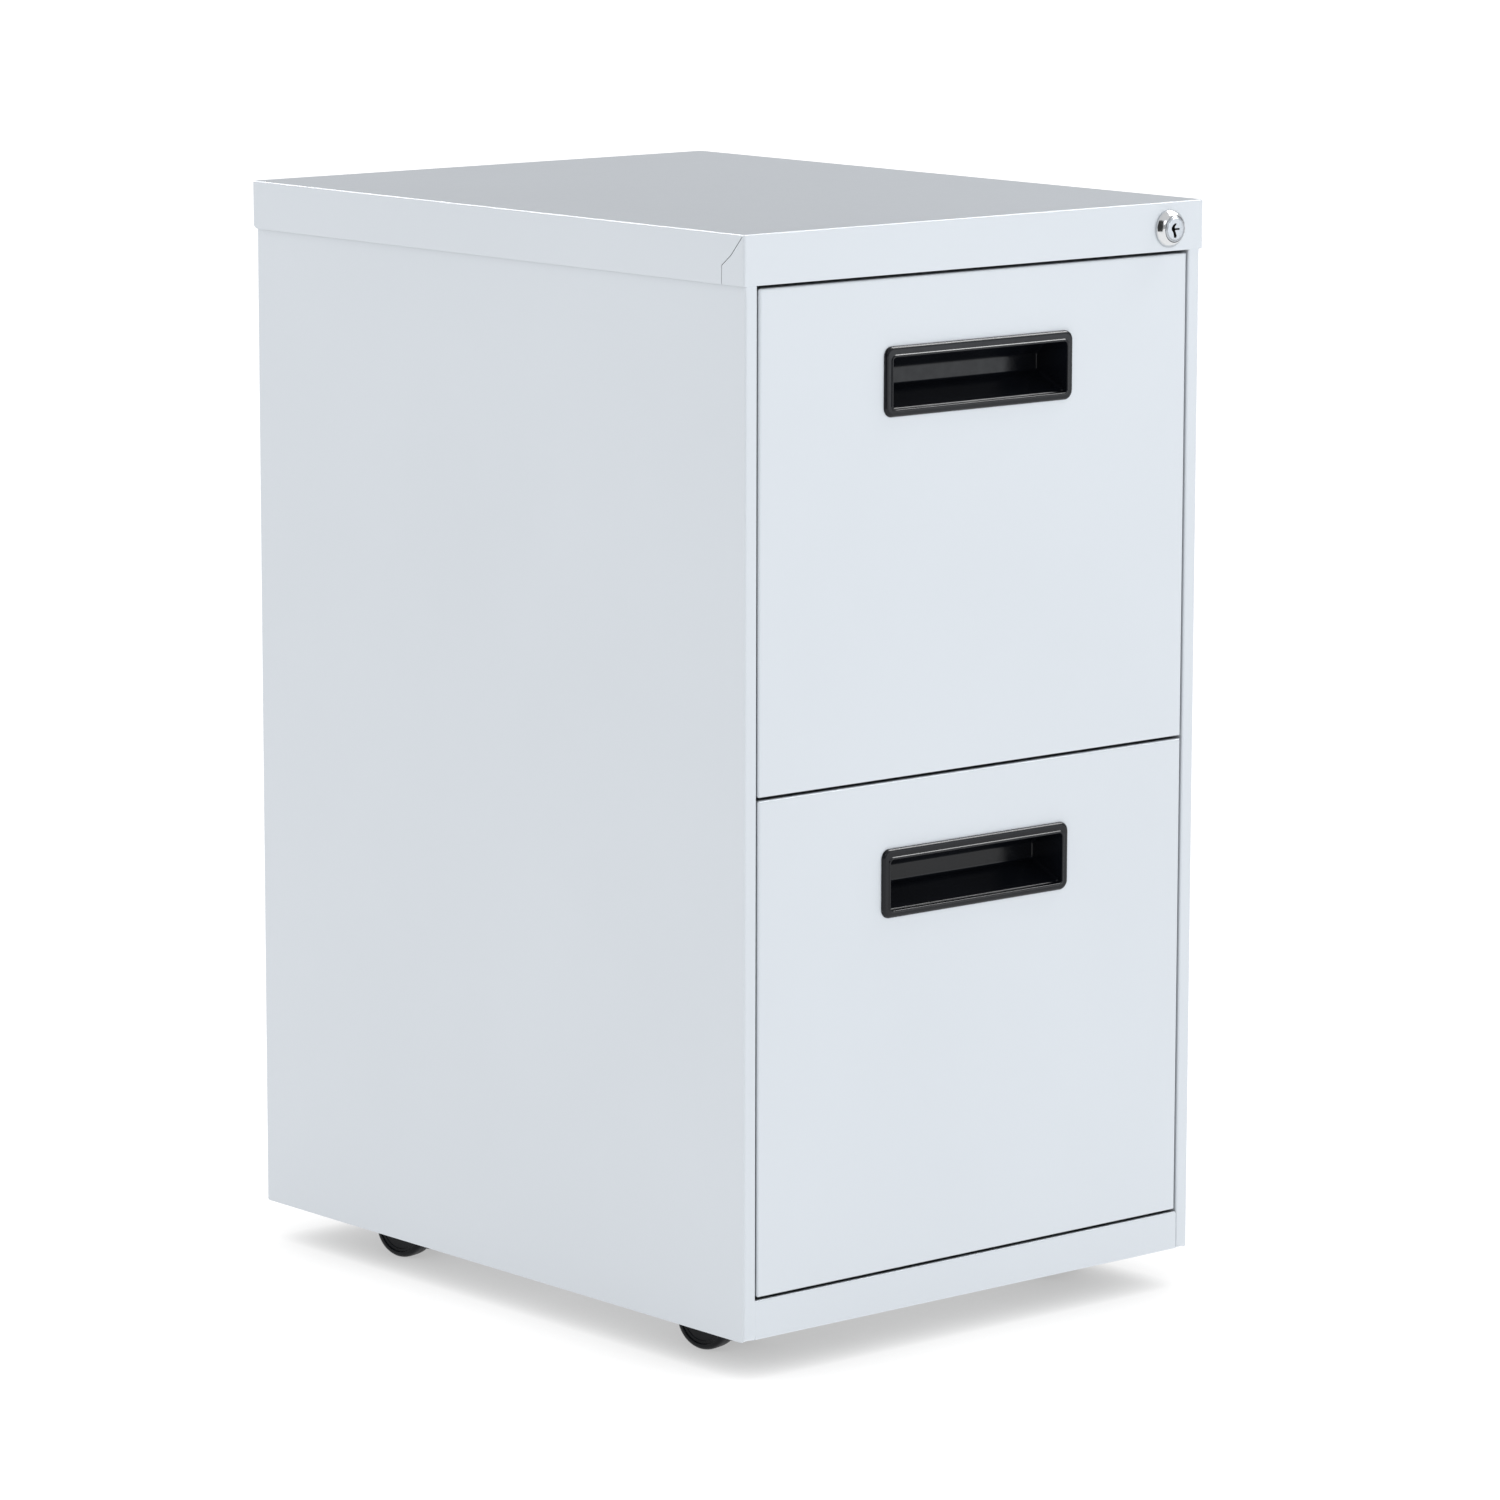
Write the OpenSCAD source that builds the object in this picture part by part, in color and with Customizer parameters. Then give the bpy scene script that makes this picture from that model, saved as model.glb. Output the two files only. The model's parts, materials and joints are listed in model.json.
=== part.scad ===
// Two-drawer mobile filing pedestal.
// Millimetres. Z up, origin on the floor under the middle of the cabinet,
// drawers face -Y. Sheet parts are folded sheet with real bend radii.

/* [Cabinet] */
// Width over the lid
lid_w = 382; // [360:1:420]
// Depth of the lid, front to back
lid_d = 492.5; // [480:0.5:540]
// Height of the top face above the floor
top_z = 705.8; // [700:0.1:720]
// Height of the lid's folded edge
lid_h = 31.2; // [30:0.1:32]
// Height of the cabinet's bottom edge above the floor
skirt_z = 25; // [22:1:27]
// Thickness of the folded sheet
sheet = 0.8; // [0.7:0.1:0.9]

/* [Drawers] */
// Height of a drawer front
front_h = 309.5; // [305:0.5:309.5]
// Height of the lower drawer front's bottom edge
lower_z = 52; // [52:0.5:53]
// Distance between the bottom edges of the two drawer fronts
pitch = 311.2; // [311:0.1:312]
// Depth of the folded drawer front
front_t = 19; // [17:0.5:19]
// Height of the drawer bin's sides
bin_h = 250; // [200:1:250]

/* [Pulls] */
// Width of the recessed pull's frame
pull_w = 156.4; // [130:0.1:180]
// Height of the recessed pull's frame
pull_h = 43.5; // [40:0.1:48]
// How far the frame stands out of the drawer front
pull_proud = 2.5; // [1.5:0.1:3]
// Depth of the finger recess behind the drawer front
cup_d = 25; // [22:0.5:28]

/* [Lock] */
// How far the lock stands out of the lid's edge
lock_proud = 6; // [5:0.1:7]
// Outer diameter of the lock's ring
ring_d = 24.1; // [22:0.1:26]

/* [Casters] */
// Wheel radius
wheel_r = 20; // [18:0.5:20]
// Offset of the axle behind the swivel axis
trail = 17; // [15:0.5:18]
// Angle of the casters at rest
caster_yaw = 12; // [-30:1:30]
// Distance of the swivel axes from the middle plane
caster_x = 141.5; // [130:0.5:141.5]

/* [Hidden] */
$fn = 48;

steel_grey = [0.86, 0.88, 0.91];
inner_grey = [0.80, 0.82, 0.84];
zinc = [0.72, 0.73, 0.75];
black = [0.07, 0.07, 0.08];
chrome = [0.85, 0.85, 0.86];

// ---- derived planes ----
t = sheet;
hx = lid_w / 2;                       // lid half width
bx = hx - 2;                          // body half width
yl0 = -(lid_d + lock_proud) / 2 + lock_proud;  // lid front plane
yl1 = (lid_d + lock_proud) / 2;       // lid back plane
yb0 = yl0 + 0.85;                     // body front plane
yb1 = yl1 - 1.6;                      // body back plane
lid_z = top_z - lid_h;                // lid's lower edge
sx = bx - 9.5;                        // stile inner edge
fx = sx - 1.5;                        // drawer front half width
upper_z = lower_z + pitch;
fb = yb0 + front_t;                   // back edge of the drawer front's flange
binx = fx - 11.5;                     // bin half width
bin_y0 = fb + 1.05;
bin_y1 = 200;
slide_x = bx - 9.7;                   // face the outer slides sit on
slide_dz = 92;                        // slide centre above the front's bottom edge
pan_z = 50;                           // top of the bottom pan
pull_dz = 224;                        // pull frame's bottom above the front's bottom edge
lock_x = hx - 29.8;
lock_z = top_z - 16.9;
caster_yf = yb0 + 98.05;
caster_yr = 165;
crank = 12;                           // lock cam throw

// ---- helpers ----
function arc(cx, cy, r, a0, a1, n = 4) =
  [for (i = [0:n]) [cx + r * cos(a0 + (a1 - a0) * i / n), cy + r * sin(a0 + (a1 - a0) * i / n)]];
// rectangle with a radius at each corner: low-low, high-low, high-high, low-high
function rr(x0, y0, x1, y1, r, n = 4) = concat(
  r[0] > 0 ? arc(x0 + r[0], y0 + r[0], r[0], 180, 270, n) : [[x0, y0]],
  r[1] > 0 ? arc(x1 - r[1], y0 + r[1], r[1], 270, 360, n) : [[x1, y0]],
  r[2] > 0 ? arc(x1 - r[2], y1 - r[2], r[2], 0, 90, n) : [[x1, y1]],
  r[3] > 0 ? arc(x0 + r[3], y1 - r[3], r[3], 90, 180, n) : [[x0, y1]]);

module ex_z(z0, z1) translate([0, 0, z0]) linear_extrude(z1 - z0) children();
module ex_y(y0, y1) translate([0, y1, 0]) rotate([90, 0, 0]) linear_extrude(y1 - y0) children();
module ex_x(x0, x1) translate([x0, 0, 0]) rotate([90, 0, 90]) linear_extrude(x1 - x0) children();
module blk(a, b) translate(a) cube([b[0] - a[0], b[1] - a[1], b[2] - a[2]]);
// box with rounded edges: pz rounds the plan, py the front view, px the side view
module rbox(a, b, pz, py, px, n = 4) intersection() {
  ex_z(a[2], b[2]) polygon(rr(a[0], a[1], b[0], b[1], pz, n));
  ex_y(a[1], b[1]) polygon(rr(a[0], a[2], b[0], b[2], py, n));
  ex_x(a[0], b[0]) polygon(rr(a[1], a[2], b[1], b[2], px, n));
}
module both() { children(); mirror([1, 0, 0]) children(); }
// solid of revolution about an axis along Y; heights are measured towards -Y
module turned_y(x, z, pts) translate([x, 0, z]) rotate([90, 0, 0]) rotate_extrude() polygon(pts);
module cyl_y(x, z, r, y0, y1) translate([x, y1, z]) rotate([90, 0, 0]) cylinder(r = r, h = y1 - y0);

// ---- casing ----
module top_cap() color(steel_grey) difference() {
  rbox([-hx, yl0, lid_z], [hx, yl1, top_z], [1.4, 1.4, 1.4, 1.4], [0, 0, 1.3, 1.3], [0, 0, 1.3, 1.3], 6);
  rbox([-hx + t, yl0 + t, lid_z - 5], [hx - t, yl1 - t, top_z - t],
       [0.6, 0.6, 0.6, 0.6], [0, 0, 0.5, 0.5], [0, 0, 0.5, 0.5], 3);
  // seam of the front corner's wrapped ear
  both() ex_x(hx - 1.1, hx + 1) polygon([
    [yl0 + 1.6, top_z - 1.5], [yl0 + 2.2, top_z - 1.5], [yl0 + 12.6, lid_z + 18], [yl0 + 20.9, lid_z + 11.6],
    [yl0 + 20.9, lid_z - 1], [yl0 + 20.5, lid_z - 1], [yl0 + 20.5, lid_z + 11.4], [yl0 + 12.1, lid_z + 17.8]]);
  // relieved lower corners at the back
  both() ex_x(hx - 5, hx + 1) polygon(concat([[yl1 + 1, lid_z - 1]],
    [[yl1 - 5, lid_z - 1]], arc(yl1 - 5, lid_z + 5, 5, -90, 0, 5), [[yl1 + 1, lid_z + 5]]));
  // hole for the lock barrel
  cyl_y(lock_x, lock_z, 9.1, yl0 - 1, yl0 + 2);
}

function side_section() = concat(
  [[-sx, yb0 + 19.55]],
  arc(-sx - 1.3, yb0 + 1.3, 1.3, 0, -90, 5),
  arc(-bx + 1.4, yb0 + 1.4, 1.4, -90, -180, 5),
  arc(-bx + 1.5, yb1 - 1.5, 1.5, 180, 90),
  [[-sx, yb1], [-sx, yb1 - t]],
  arc(-bx + 1.5, yb1 - 1.5, 1.5 - t, 90, 180, 3),
  arc(-bx + 1.4, yb0 + 1.4, 1.4 - t, 180, 270, 3),
  arc(-sx - 1.3, yb0 + 1.3, 1.3 - t, -90, 0, 3),
  [[-sx - t, yb0 + 19.55]]);
// children fill the stile's inner bend where the seam to the base rail is welded flush
module side_panel() intersection() {
  union() {
    ex_z(skirt_z, top_z - 1.6) polygon(side_section());
    children();
  }
  ex_x(-bx - 1, -sx + 1) polygon(rr(yb0, skirt_z, yb1, top_z - 1.6, [3, 3, 0, 0]));
}
module left_side_panel() color(steel_grey) side_panel() ex_z(skirt_z, pan_z + 0.4) polygon([
  [-sx - 1.5, yb0], [-sx, yb0], [-sx, yb0 + 1.5], [-sx - 0.5, yb0 + 1.1], [-sx - 1.1, yb0 + 0.5]]);
module right_side_panel() color(steel_grey) mirror([1, 0, 0]) side_panel();

module back_panel() color(steel_grey)
  rbox([-bx + 1.8, yb1 - t - 0.85, skirt_z + 2], [bx - 1.8, yb1 - t - 0.05, top_z - 1.6],
       [0, 0, 0, 0], [3, 3, 0, 0], [0, 0, 0, 0]);

module bottom_pan() color(inner_grey) difference() {
  rbox([-bx + 0.9, yb0 + 19.65, 30], [bx - 0.9, yb1 - t - 0.95, pan_z],
       [1.5, 1.5, 1.5, 1.5], [0, 0, 1.5, 1.5], [0, 0, 1.5, 1.5]);
  rbox([-bx + 0.9 + t, yb0 + 19.65 + t, 20], [bx - 0.9 - t, yb1 - 2 * t - 0.95, pan_z - t],
       [0.7, 0.7, 0.7, 0.7], [0, 0, 0.7, 0.7], [0, 0, 0.7, 0.7]);
}

module channel_yz(y0, z0, y1, z1, r0, r1) polygon(concat(
  [[y1, z0]], arc(y0 + r0, z0 + r0, r0, 270, 180), arc(y0 + r1, z1 - r1, r1, 180, 90), [[y1, z1], [y1, z1 - t]],
  arc(y0 + r1, z1 - r1, r1 - t, 90, 180, 3), arc(y0 + r0, z0 + r0, r0 - t, 180, 270, 3), [[y1, z0 + t]]));
module base_rail() color(steel_grey) intersection() {
  ex_x(-sx + 0.02, sx - 0.45) channel_yz(yb0, skirt_z + 0.5, yb0 + 19.55, pan_z + 0.4, 1.2, 1.3);
  ex_y(yb0 - 1, yb0 + 30) polygon(rr(-sx + 0.02, skirt_z, sx - 0.45, pan_z + 0.4, [0, 0, 1.5, 0]));
}
module top_rail() color(steel_grey) difference() {
  ex_x(-sx + 0.2, sx - 0.2) channel_yz(yb0, lid_z + 1.5, yb0 + 19.55, top_z - 1.8, 1.3, 1.3);
  cyl_y(lock_x, lock_z, 9.1, yb0 - 1, yb0 + 3);
}

// ---- inner frame ----
module upright(y0, y1) ex_z(60, top_z - 15) polygon([
  [slide_x, y0], [bx - t, y0], [bx - t, y0 + 1.2], [slide_x + 1.2, y0 + 1.2],
  [slide_x + 1.2, y1 - 1.2], [bx - t, y1 - 1.2], [bx - t, y1], [slide_x, y1]]);
module slide_uprights() color(zinc) both() { upright(-205, -160); upright(140, 180); }

module counterweight() color([0.25, 0.26, 0.28])
  rbox([-150, 206, pan_z + 0.05], [150, 243, pan_z + 50], [3, 3, 3, 3], [0, 0, 3, 3], [0, 0, 3, 3], 3);

// ---- lock ----
module lock_housing() color(chrome) turned_y(lock_x, lock_z, concat(
  [[6.55, -(yb0 + 19)], [9, -(yb0 + 19)], [9, -yl0], [ring_d / 2, -yl0], [ring_d / 2, -yl0 + 0.9]],
  arc(ring_d / 2 - 1, -yl0 + 0.9, 1, 10, 45, 3),
  arc(9.5, -yl0 + lock_proud - 2, 0.7, 45, 90, 3),
  [[8.75, -yl0 + lock_proud - 1.35], [8.35, -yl0 + lock_proud - 1.75], [8.35, -yl0 + 0.6], [6.55, -yl0 + 0.6]]));
module lock_nut() color(zinc) difference() {
  translate([lock_x, yb0 + t + 3, lock_z]) rotate([90, 0, 0]) cylinder(r = 12.7, h = 3, $fn = 6);
  cyl_y(lock_x, lock_z, 9.04, yb0, yb0 + 6);
}
module lock_plug() color(chrome) difference() {
  union() {
    turned_y(lock_x, lock_z, concat(
      [[0, -(yb0 + 20)], [6.5, -(yb0 + 20)], [6.5, -yl0 + 0.65], [8.27, -yl0 + 0.65], [8.27, -yl0 + lock_proud - 1.4]],
      arc(8.27 - 1.2, -yl0 + lock_proud - 1.4, 1.2, 20, 70, 3),
      [[6.2, -yl0 + lock_proud - 0.12], [0, -yl0 + lock_proud]]));
    translate([lock_x, yb0 + 24.6, lock_z]) rotate([90, 0, 0])
      translate([-3.5, -3.5, 0]) cube([7, 7, 5.1]);
    cyl_y(lock_x, lock_z, 4.3, yb0 + 24.15, yb0 + 25);
  }
  // keyway
  blk([lock_x - 0.75, yl0 - 9, lock_z - 3.6], [lock_x + 0.75, yl0 + 3, lock_z + 3.6]);
  blk([lock_x - 0.2, yl0 - 9, lock_z - 0.9], [lock_x + 2.0, yl0 + 3, lock_z + 0.7]);
}
module lock_cam() color(zinc) difference() {
  union() {
    cyl_y(lock_x, lock_z, 6.8, yb0 + 22.05, yb0 + 24.05);
    translate([lock_x, yb0 + 24.05, lock_z]) rotate([90, 0, 0]) rotate([0, 0, 45])
      translate([0, -2.8, 0]) cube([crank, 5.6, 2]);
    cyl_y(lock_x + crank * cos(45), lock_z + crank * sin(45), 3.4, yb0 + 22.05, yb0 + 24.05);
    cyl_y(lock_x + crank * cos(45), lock_z + crank * sin(45), 1.6, yb0 + 23, yb0 + 28.6);
  }
  translate([lock_x, yb0 + 30, lock_z]) rotate([90, 0, 0]) translate([-3.53, -3.53, 0]) cube([7.06, 7.06, 12]);
}
bar_y = yb0 + 25.55;                 // front face of the lock bar
bar_x = bx - 1.5;                    // outer edge of the lock bar
pin_z = lock_z + crank * sin(45);
module lock_bar() color(zinc) difference() {
  union() {
    blk([bar_x - 6, bar_y, 95], [bar_x, bar_y + 2, pin_z + 5]);
    blk([lock_x + 3.7, bar_y, pin_z - 6.6], [bar_x, bar_y + 2, pin_z + 5.4]);
    for (z = [lower_z, upper_z]) blk([binx + 1.5, bar_y, z + 253], [bar_x, bar_y + 2, z + 259]);
  }
  ex_y(bar_y - 1, bar_y + 3) polygon(rr(lock_x + 6.3, pin_z - 2.3, lock_x + 14.2, pin_z + 2.3, [1, 1, 1, 1], 3));
}
module lock_bar_guides() color(zinc) for (z = [100, 400, 650]) difference() {
  blk([slide_x + 0.7, bar_y - 2.6, z - 5], [bx - t, bar_y + 4.6, z + 5]);
  blk([slide_x + 1.8, bar_y - 0.4, z - 6], [bx, bar_y + 2.4, z + 6]);
}

// ---- drawer slides: u runs from the cabinet towards the drawer, v up ----
function csec(ua, ub, v, w, zc) = let (s = sign(ub - ua)) [
  for (p = [[ub, -v], [ua + s * 1.4, -v], [ua + s * 0.4, -v + 0.4], [ua, -v + 1.4],
            [ua, v - 1.4], [ua + s * 0.4, v - 0.4], [ua + s * 1.4, v], [ub, v], [ub, v - w],
            [ua + s * w, v - w], [ua + s * w, -v + w], [ub, -v + w]]) [slide_x - p[0], zc + p[1]]];
module slide_outer(zc) color(zinc) ex_y(-220, 210) polygon(csec(0, 9.8, 22.8, 1.2, zc));
module slide_middle(zc) color(zinc) ex_y(-219, 196) polygon(csec(2.6, 11.5, 16.8, 1.2, zc));
module slide_inner(zc) color(zinc) ex_y(-218, 197) polygon(csec(12.7, 5.6, 10.6, 1.2, zc));
module cage(zc, u0, u1, v, ub) color([0.6, 0.6, 0.55]) both() union() {
  ex_y(-105, 95) polygon([
    for (p = [[u1, -v - 0.4], [u0, -v - 0.4], [u0, v + 0.4], [u1, v + 0.4], [u1, v - 0.4],
              [u0 + 0.6, v - 0.4], [u0 + 0.6, -v + 0.4], [u1, -v + 0.4]]) [slide_x - p[0], zc + p[1]]]);
  for (i = [0:4], s = [-1, 1]) translate([slide_x - ub, -95 + i * 45, zc + s * v]) sphere(r = 2.2);
}
module outer_cages(zc) cage(zc, 1.6, 8.8, 19.2, 6.6);
module inner_cages(zc) cage(zc, 4.3, 10, 13.1, 7.8);
module slide_bumpers() color(black) for (z = [lower_z, upper_z]) both()
  rbox([slide_x - 11.8, 198.5, z + slide_dz - 8], [slide_x - 1.2, 207, z + slide_dz + 8],
       [2, 2, 0, 0], [2, 2, 2, 2], [2, 0, 0, 2], 3);

// ---- drawers ----
cut_x = pull_w / 2 - 3.4;
module drawer_front(z) color(steel_grey) difference() {
  rbox([-fx, yb0, z], [fx, fb, z + front_h], [2.1, 2.1, 0, 0], [1.8, 1.8, 1.8, 1.8], [1.9, 0, 0, 1.9], 6);
  rbox([-fx + t, yb0 + t, z + t], [fx - t, fb + 5, z + front_h - t], [1.3, 1.3, 0, 0], [1, 1, 1, 1], [1.1, 0, 0, 1.1], 3);
  ex_y(yb0 - 5, yb0 + 5) polygon(rr(-cut_x, z + pull_dz + 2.7, cut_x, z + pull_dz + pull_h - 1.7, [0.4, 0.4, 0.4, 0.4]));
}
module drawer_liner(z) color(inner_grey) difference() {
  rbox([-fx + t + 0.1, fb - 9, z + t + 0.1], [fx - t - 0.1, fb + 0.95, z + front_h - t - 0.1],
       [0, 0, 1.3, 1.3], [0.9, 0.9, 0.9, 0.9], [0, 1.3, 1.3, 0]);
  rbox([-fx + 2 * t + 0.1, fb - 20, z + 2 * t + 0.1], [fx - 2 * t - 0.1, fb + 0.95 - t, z + front_h - 2 * t - 0.1],
       [0, 0, 0.5, 0.5], [0.4, 0.4, 0.4, 0.4], [0, 0.5, 0.5, 0]);
  ex_y(fb - 5, fb + 5) polygon(rr(-cut_x, z + pull_dz + 2.7, cut_x, z + pull_dz + pull_h - 1.7, [0.4, 0.4, 0.4, 0.4]));
}
// recessed pull: a bevelled frame on the drawer front and a sloping cup behind it
module handle(z) {
  f0 = z + pull_dz; f1 = f0 + pull_h;
  o0 = f0 + 4.9; o1 = f1 - 6.8;
  ox = pull_w / 2 - 5.8;
  color(black) difference() {
    union() {
      rbox([-pull_w / 2, yb0 - pull_proud, f0], [pull_w / 2, yb0, f1],
           [2.2, 2.2, 0, 0], [6, 6, 6, 6], [2.2, 0, 0, 2.2], 5);
      ex_x(-ox - 1.8, ox + 1.8) polygon([
        [yb0 - 1, o0 - 1.8], [yb0 + 1, o0 - 1.8], [yb0 + cup_d + 1.8, o0 + 10.3],
        [yb0 + cup_d + 1.8, o1 - 7.4], [yb0 + 16, o1 + 4.6], [yb0 - 1, o1 + 4.6]]);
    }
    // cup's inside: sloping floor and ceiling, straight back wall, grip pocket behind the upper lip
    ex_x(-ox, ox) polygon([
      [yb0 + 1.2, o0 + 0.1], [yb0 + cup_d, o0 + 12], [yb0 + cup_d, o1 - 9.2], [yb0 + 15, o1 + 3], [yb0 + 1.2, o1 + 3]]);
    ex_y(yb0 - 5, yb0 + 1.3) polygon(rr(-ox, o0, ox, o1, [2.5, 2.5, 2.5, 2.5]));
  }
}
module drawer_bin(z) color(inner_grey) {
  b = z + 22; top = b + bin_h;
  ex_y(bin_y0, bin_y1) polygon(concat(
    arc(-binx + 2, b + 2, 2, 180, 270), arc(binx - 2, b + 2, 2, 270, 360),
    [[binx, top], [binx - 1.6, top], [binx - 1.6, top - 10], [binx - t, top - 10]],
    arc(binx - 2, b + 2, 2 - t, 360, 270, 3), arc(-binx + 2, b + 2, 2 - t, 270, 180, 3),
    [[-binx + t, top - 10], [-binx + 1.6, top - 10], [-binx + 1.6, top], [-binx, top]]));
}
module drawer_back(z) color(inner_grey) {
  b = z + 22;
  ex_z(b + t + 0.1, b + bin_h - 1) polygon([
    [-binx + 1.8, bin_y1], [-binx + 1.8, bin_y1 - 13], [-binx + 1.8 + t, bin_y1 - 13], [-binx + 1.8 + t, bin_y1 - t],
    [binx - 1.8 - t, bin_y1 - t], [binx - 1.8 - t, bin_y1 - 13], [binx - 1.8, bin_y1 - 13], [binx - 1.8, bin_y1]]);
}
module file_rails(z) color(zinc) both() ex_z(z + 22 + bin_h - 22, z + 22 + bin_h - 7) polygon([
  [143, bin_y0 + 0.1], [157.1, bin_y0 + 0.1], [157.1, bin_y1 - t - 0.1], [143, bin_y1 - t - 0.1],
  [143, bin_y1 - t - 1.6], [155.1, bin_y1 - t - 1.6], [155.1, bin_y0 + 1.6], [143, bin_y0 + 1.6]]);
module lock_catch(z) color(zinc) ex_z(z + 237, z + 251) polygon([
  [binx + 0.05, bar_y + 2.6], [fx, bar_y + 2.6], [fx, bar_y + 4.1],
  [binx + 1.55, bar_y + 4.1], [binx + 1.55, bar_y + 26], [binx + 0.05, bar_y + 26]]);

// ---- casters, each drawn about its own swivel axis with the axle towards -Y ----
module at_caster(x, y) translate([x, y, 0]) rotate([0, 0, caster_yaw]) children();
plate_z = pan_z - t;                 // underside of the bottom pan
module caster_plate() difference() {
  union() {
    ex_z(plate_z - 2.5, plate_z) polygon(rr(-25, -25, 25, 25, [5, 5, 5, 5]));
    translate([0, 0, 32]) cylinder(r = 4, h = plate_z - 33);
  }
  for (x = [-18, 18], y = [-18, 18]) translate([x, y, plate_z - 4]) cylinder(r = 2.6, h = 6);
}
module caster_places() for (x = [-caster_x, caster_x], y = [caster_yf, caster_yr]) translate([x, y, 0]) children();
module caster_plates() color(zinc) caster_places() caster_plate();
module caster_screws() color(zinc) caster_places() for (x = [-18, 18], y = [-18, 18])
  translate([x, y, 0]) rotate_extrude() polygon([
    [0, plate_z - 4.6], [2.6, plate_z - 4.6], [4.3, plate_z - 3.6], [4.6, plate_z - 2.55],
    [2.5, plate_z - 2.55], [2.5, plate_z - 0.05], [0, plate_z - 0.05]]);
module hood() color(black) difference() {
  union() {
    translate([0, 0, 30]) cylinder(r = 6.2, h = 15);
    translate([0, 0, 43.4]) cylinder(r = 11, h = 2.5);
    ex_x(-5.9, 5.9) polygon([[3, 31], [3, 44], [-trail + 5, 43.4], [-trail, 41.4], [-trail - 6, 40],
                             [-trail - 7, 22], [-trail, 12.5], [-trail + 8, 18]]);
    translate([-6.1, -trail, wheel_r]) rotate([0, 90, 0]) cylinder(r = 7.6, h = 12.2);
    ex_x(-21.3, 21.3) polygon(concat(
      arc(-trail, wheel_r, wheel_r + 2.6, 25, 150, 14), arc(-trail, wheel_r, wheel_r + 0.8, 150, 25, 14)));
  }
  translate([0, 0, 31.4]) cylinder(r = 4.05, h = 30);
  translate([-30, -trail, wheel_r]) rotate([0, 90, 0]) cylinder(r = 3.06, h = 60);
}
module axle() color(zinc) translate([-20.8, -trail, wheel_r]) rotate([0, 90, 0]) cylinder(r = 3, h = 41.6);
module wheels() color(black) both() translate([0, -trail, wheel_r]) rotate([0, 90, 0]) rotate_extrude()
  polygon(concat([[3.05, 6.7], [wheel_r - 1.5, 6.7]],
    arc(wheel_r - 1.5, 8.2, 1.5, -60, 0, 2), arc(wheel_r - 2.5, 19, 2.5, 0, 90, 4),
    [[wheel_r - 4.4, 21.5], [wheel_r - 5.6, 20.3], [6.6, 20.3], [5.6, 21.2], [3.05, 21.2]]));

top_cap();
left_side_panel();
right_side_panel();
back_panel();
bottom_pan();
base_rail();
top_rail();
slide_uprights();
counterweight();
lock_housing();
lock_nut();
lock_plug();
lock_cam();
lock_bar();
lock_bar_guides();
slide_bumpers();
caster_plates();
caster_screws();
mirror([1, 0, 0]) slide_outer(upper_z + slide_dz);  // upper_left_slide_outer
slide_outer(upper_z + slide_dz);  // upper_right_slide_outer
mirror([1, 0, 0]) slide_outer(lower_z + slide_dz);  // lower_left_slide_outer
slide_outer(lower_z + slide_dz);  // lower_right_slide_outer
drawer_front(upper_z);  // upper_drawer_front
drawer_liner(upper_z);  // upper_drawer_liner
handle(upper_z);  // upper_handle
drawer_bin(upper_z);  // upper_drawer_bin
drawer_back(upper_z);  // upper_drawer_back
file_rails(upper_z);  // upper_file_rails
lock_catch(upper_z);  // upper_lock_catch
mirror([1, 0, 0]) slide_inner(upper_z + slide_dz);  // upper_left_slide_inner
slide_inner(upper_z + slide_dz);  // upper_right_slide_inner
mirror([1, 0, 0]) slide_middle(upper_z + slide_dz);  // upper_left_slide_middle
slide_middle(upper_z + slide_dz);  // upper_right_slide_middle
outer_cages(upper_z + slide_dz);  // upper_outer_ball_cages
inner_cages(upper_z + slide_dz);  // upper_inner_ball_cages
drawer_front(lower_z);  // lower_drawer_front
drawer_liner(lower_z);  // lower_drawer_liner
handle(lower_z);  // lower_handle
drawer_bin(lower_z);  // lower_drawer_bin
drawer_back(lower_z);  // lower_drawer_back
file_rails(lower_z);  // lower_file_rails
lock_catch(lower_z);  // lower_lock_catch
mirror([1, 0, 0]) slide_inner(lower_z + slide_dz);  // lower_left_slide_inner
slide_inner(lower_z + slide_dz);  // lower_right_slide_inner
mirror([1, 0, 0]) slide_middle(lower_z + slide_dz);  // lower_left_slide_middle
slide_middle(lower_z + slide_dz);  // lower_right_slide_middle
outer_cages(lower_z + slide_dz);  // lower_outer_ball_cages
inner_cages(lower_z + slide_dz);  // lower_inner_ball_cages
at_caster(-caster_x, caster_yf) hood();  // front_left_caster_hood
at_caster(-caster_x, caster_yf) axle();  // front_left_caster_axle
at_caster(-caster_x, caster_yf) wheels();  // front_left_caster_wheels
at_caster(caster_x, caster_yf) hood();  // front_right_caster_hood
at_caster(caster_x, caster_yf) axle();  // front_right_caster_axle
at_caster(caster_x, caster_yf) wheels();  // front_right_caster_wheels
at_caster(-caster_x, caster_yr) hood();  // rear_left_caster_hood
at_caster(-caster_x, caster_yr) axle();  // rear_left_caster_axle
at_caster(-caster_x, caster_yr) wheels();  // rear_left_caster_wheels
at_caster(caster_x, caster_yr) hood();  // rear_right_caster_hood
at_caster(caster_x, caster_yr) axle();  // rear_right_caster_axle
at_caster(caster_x, caster_yr) wheels();  // rear_right_caster_wheels
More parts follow.
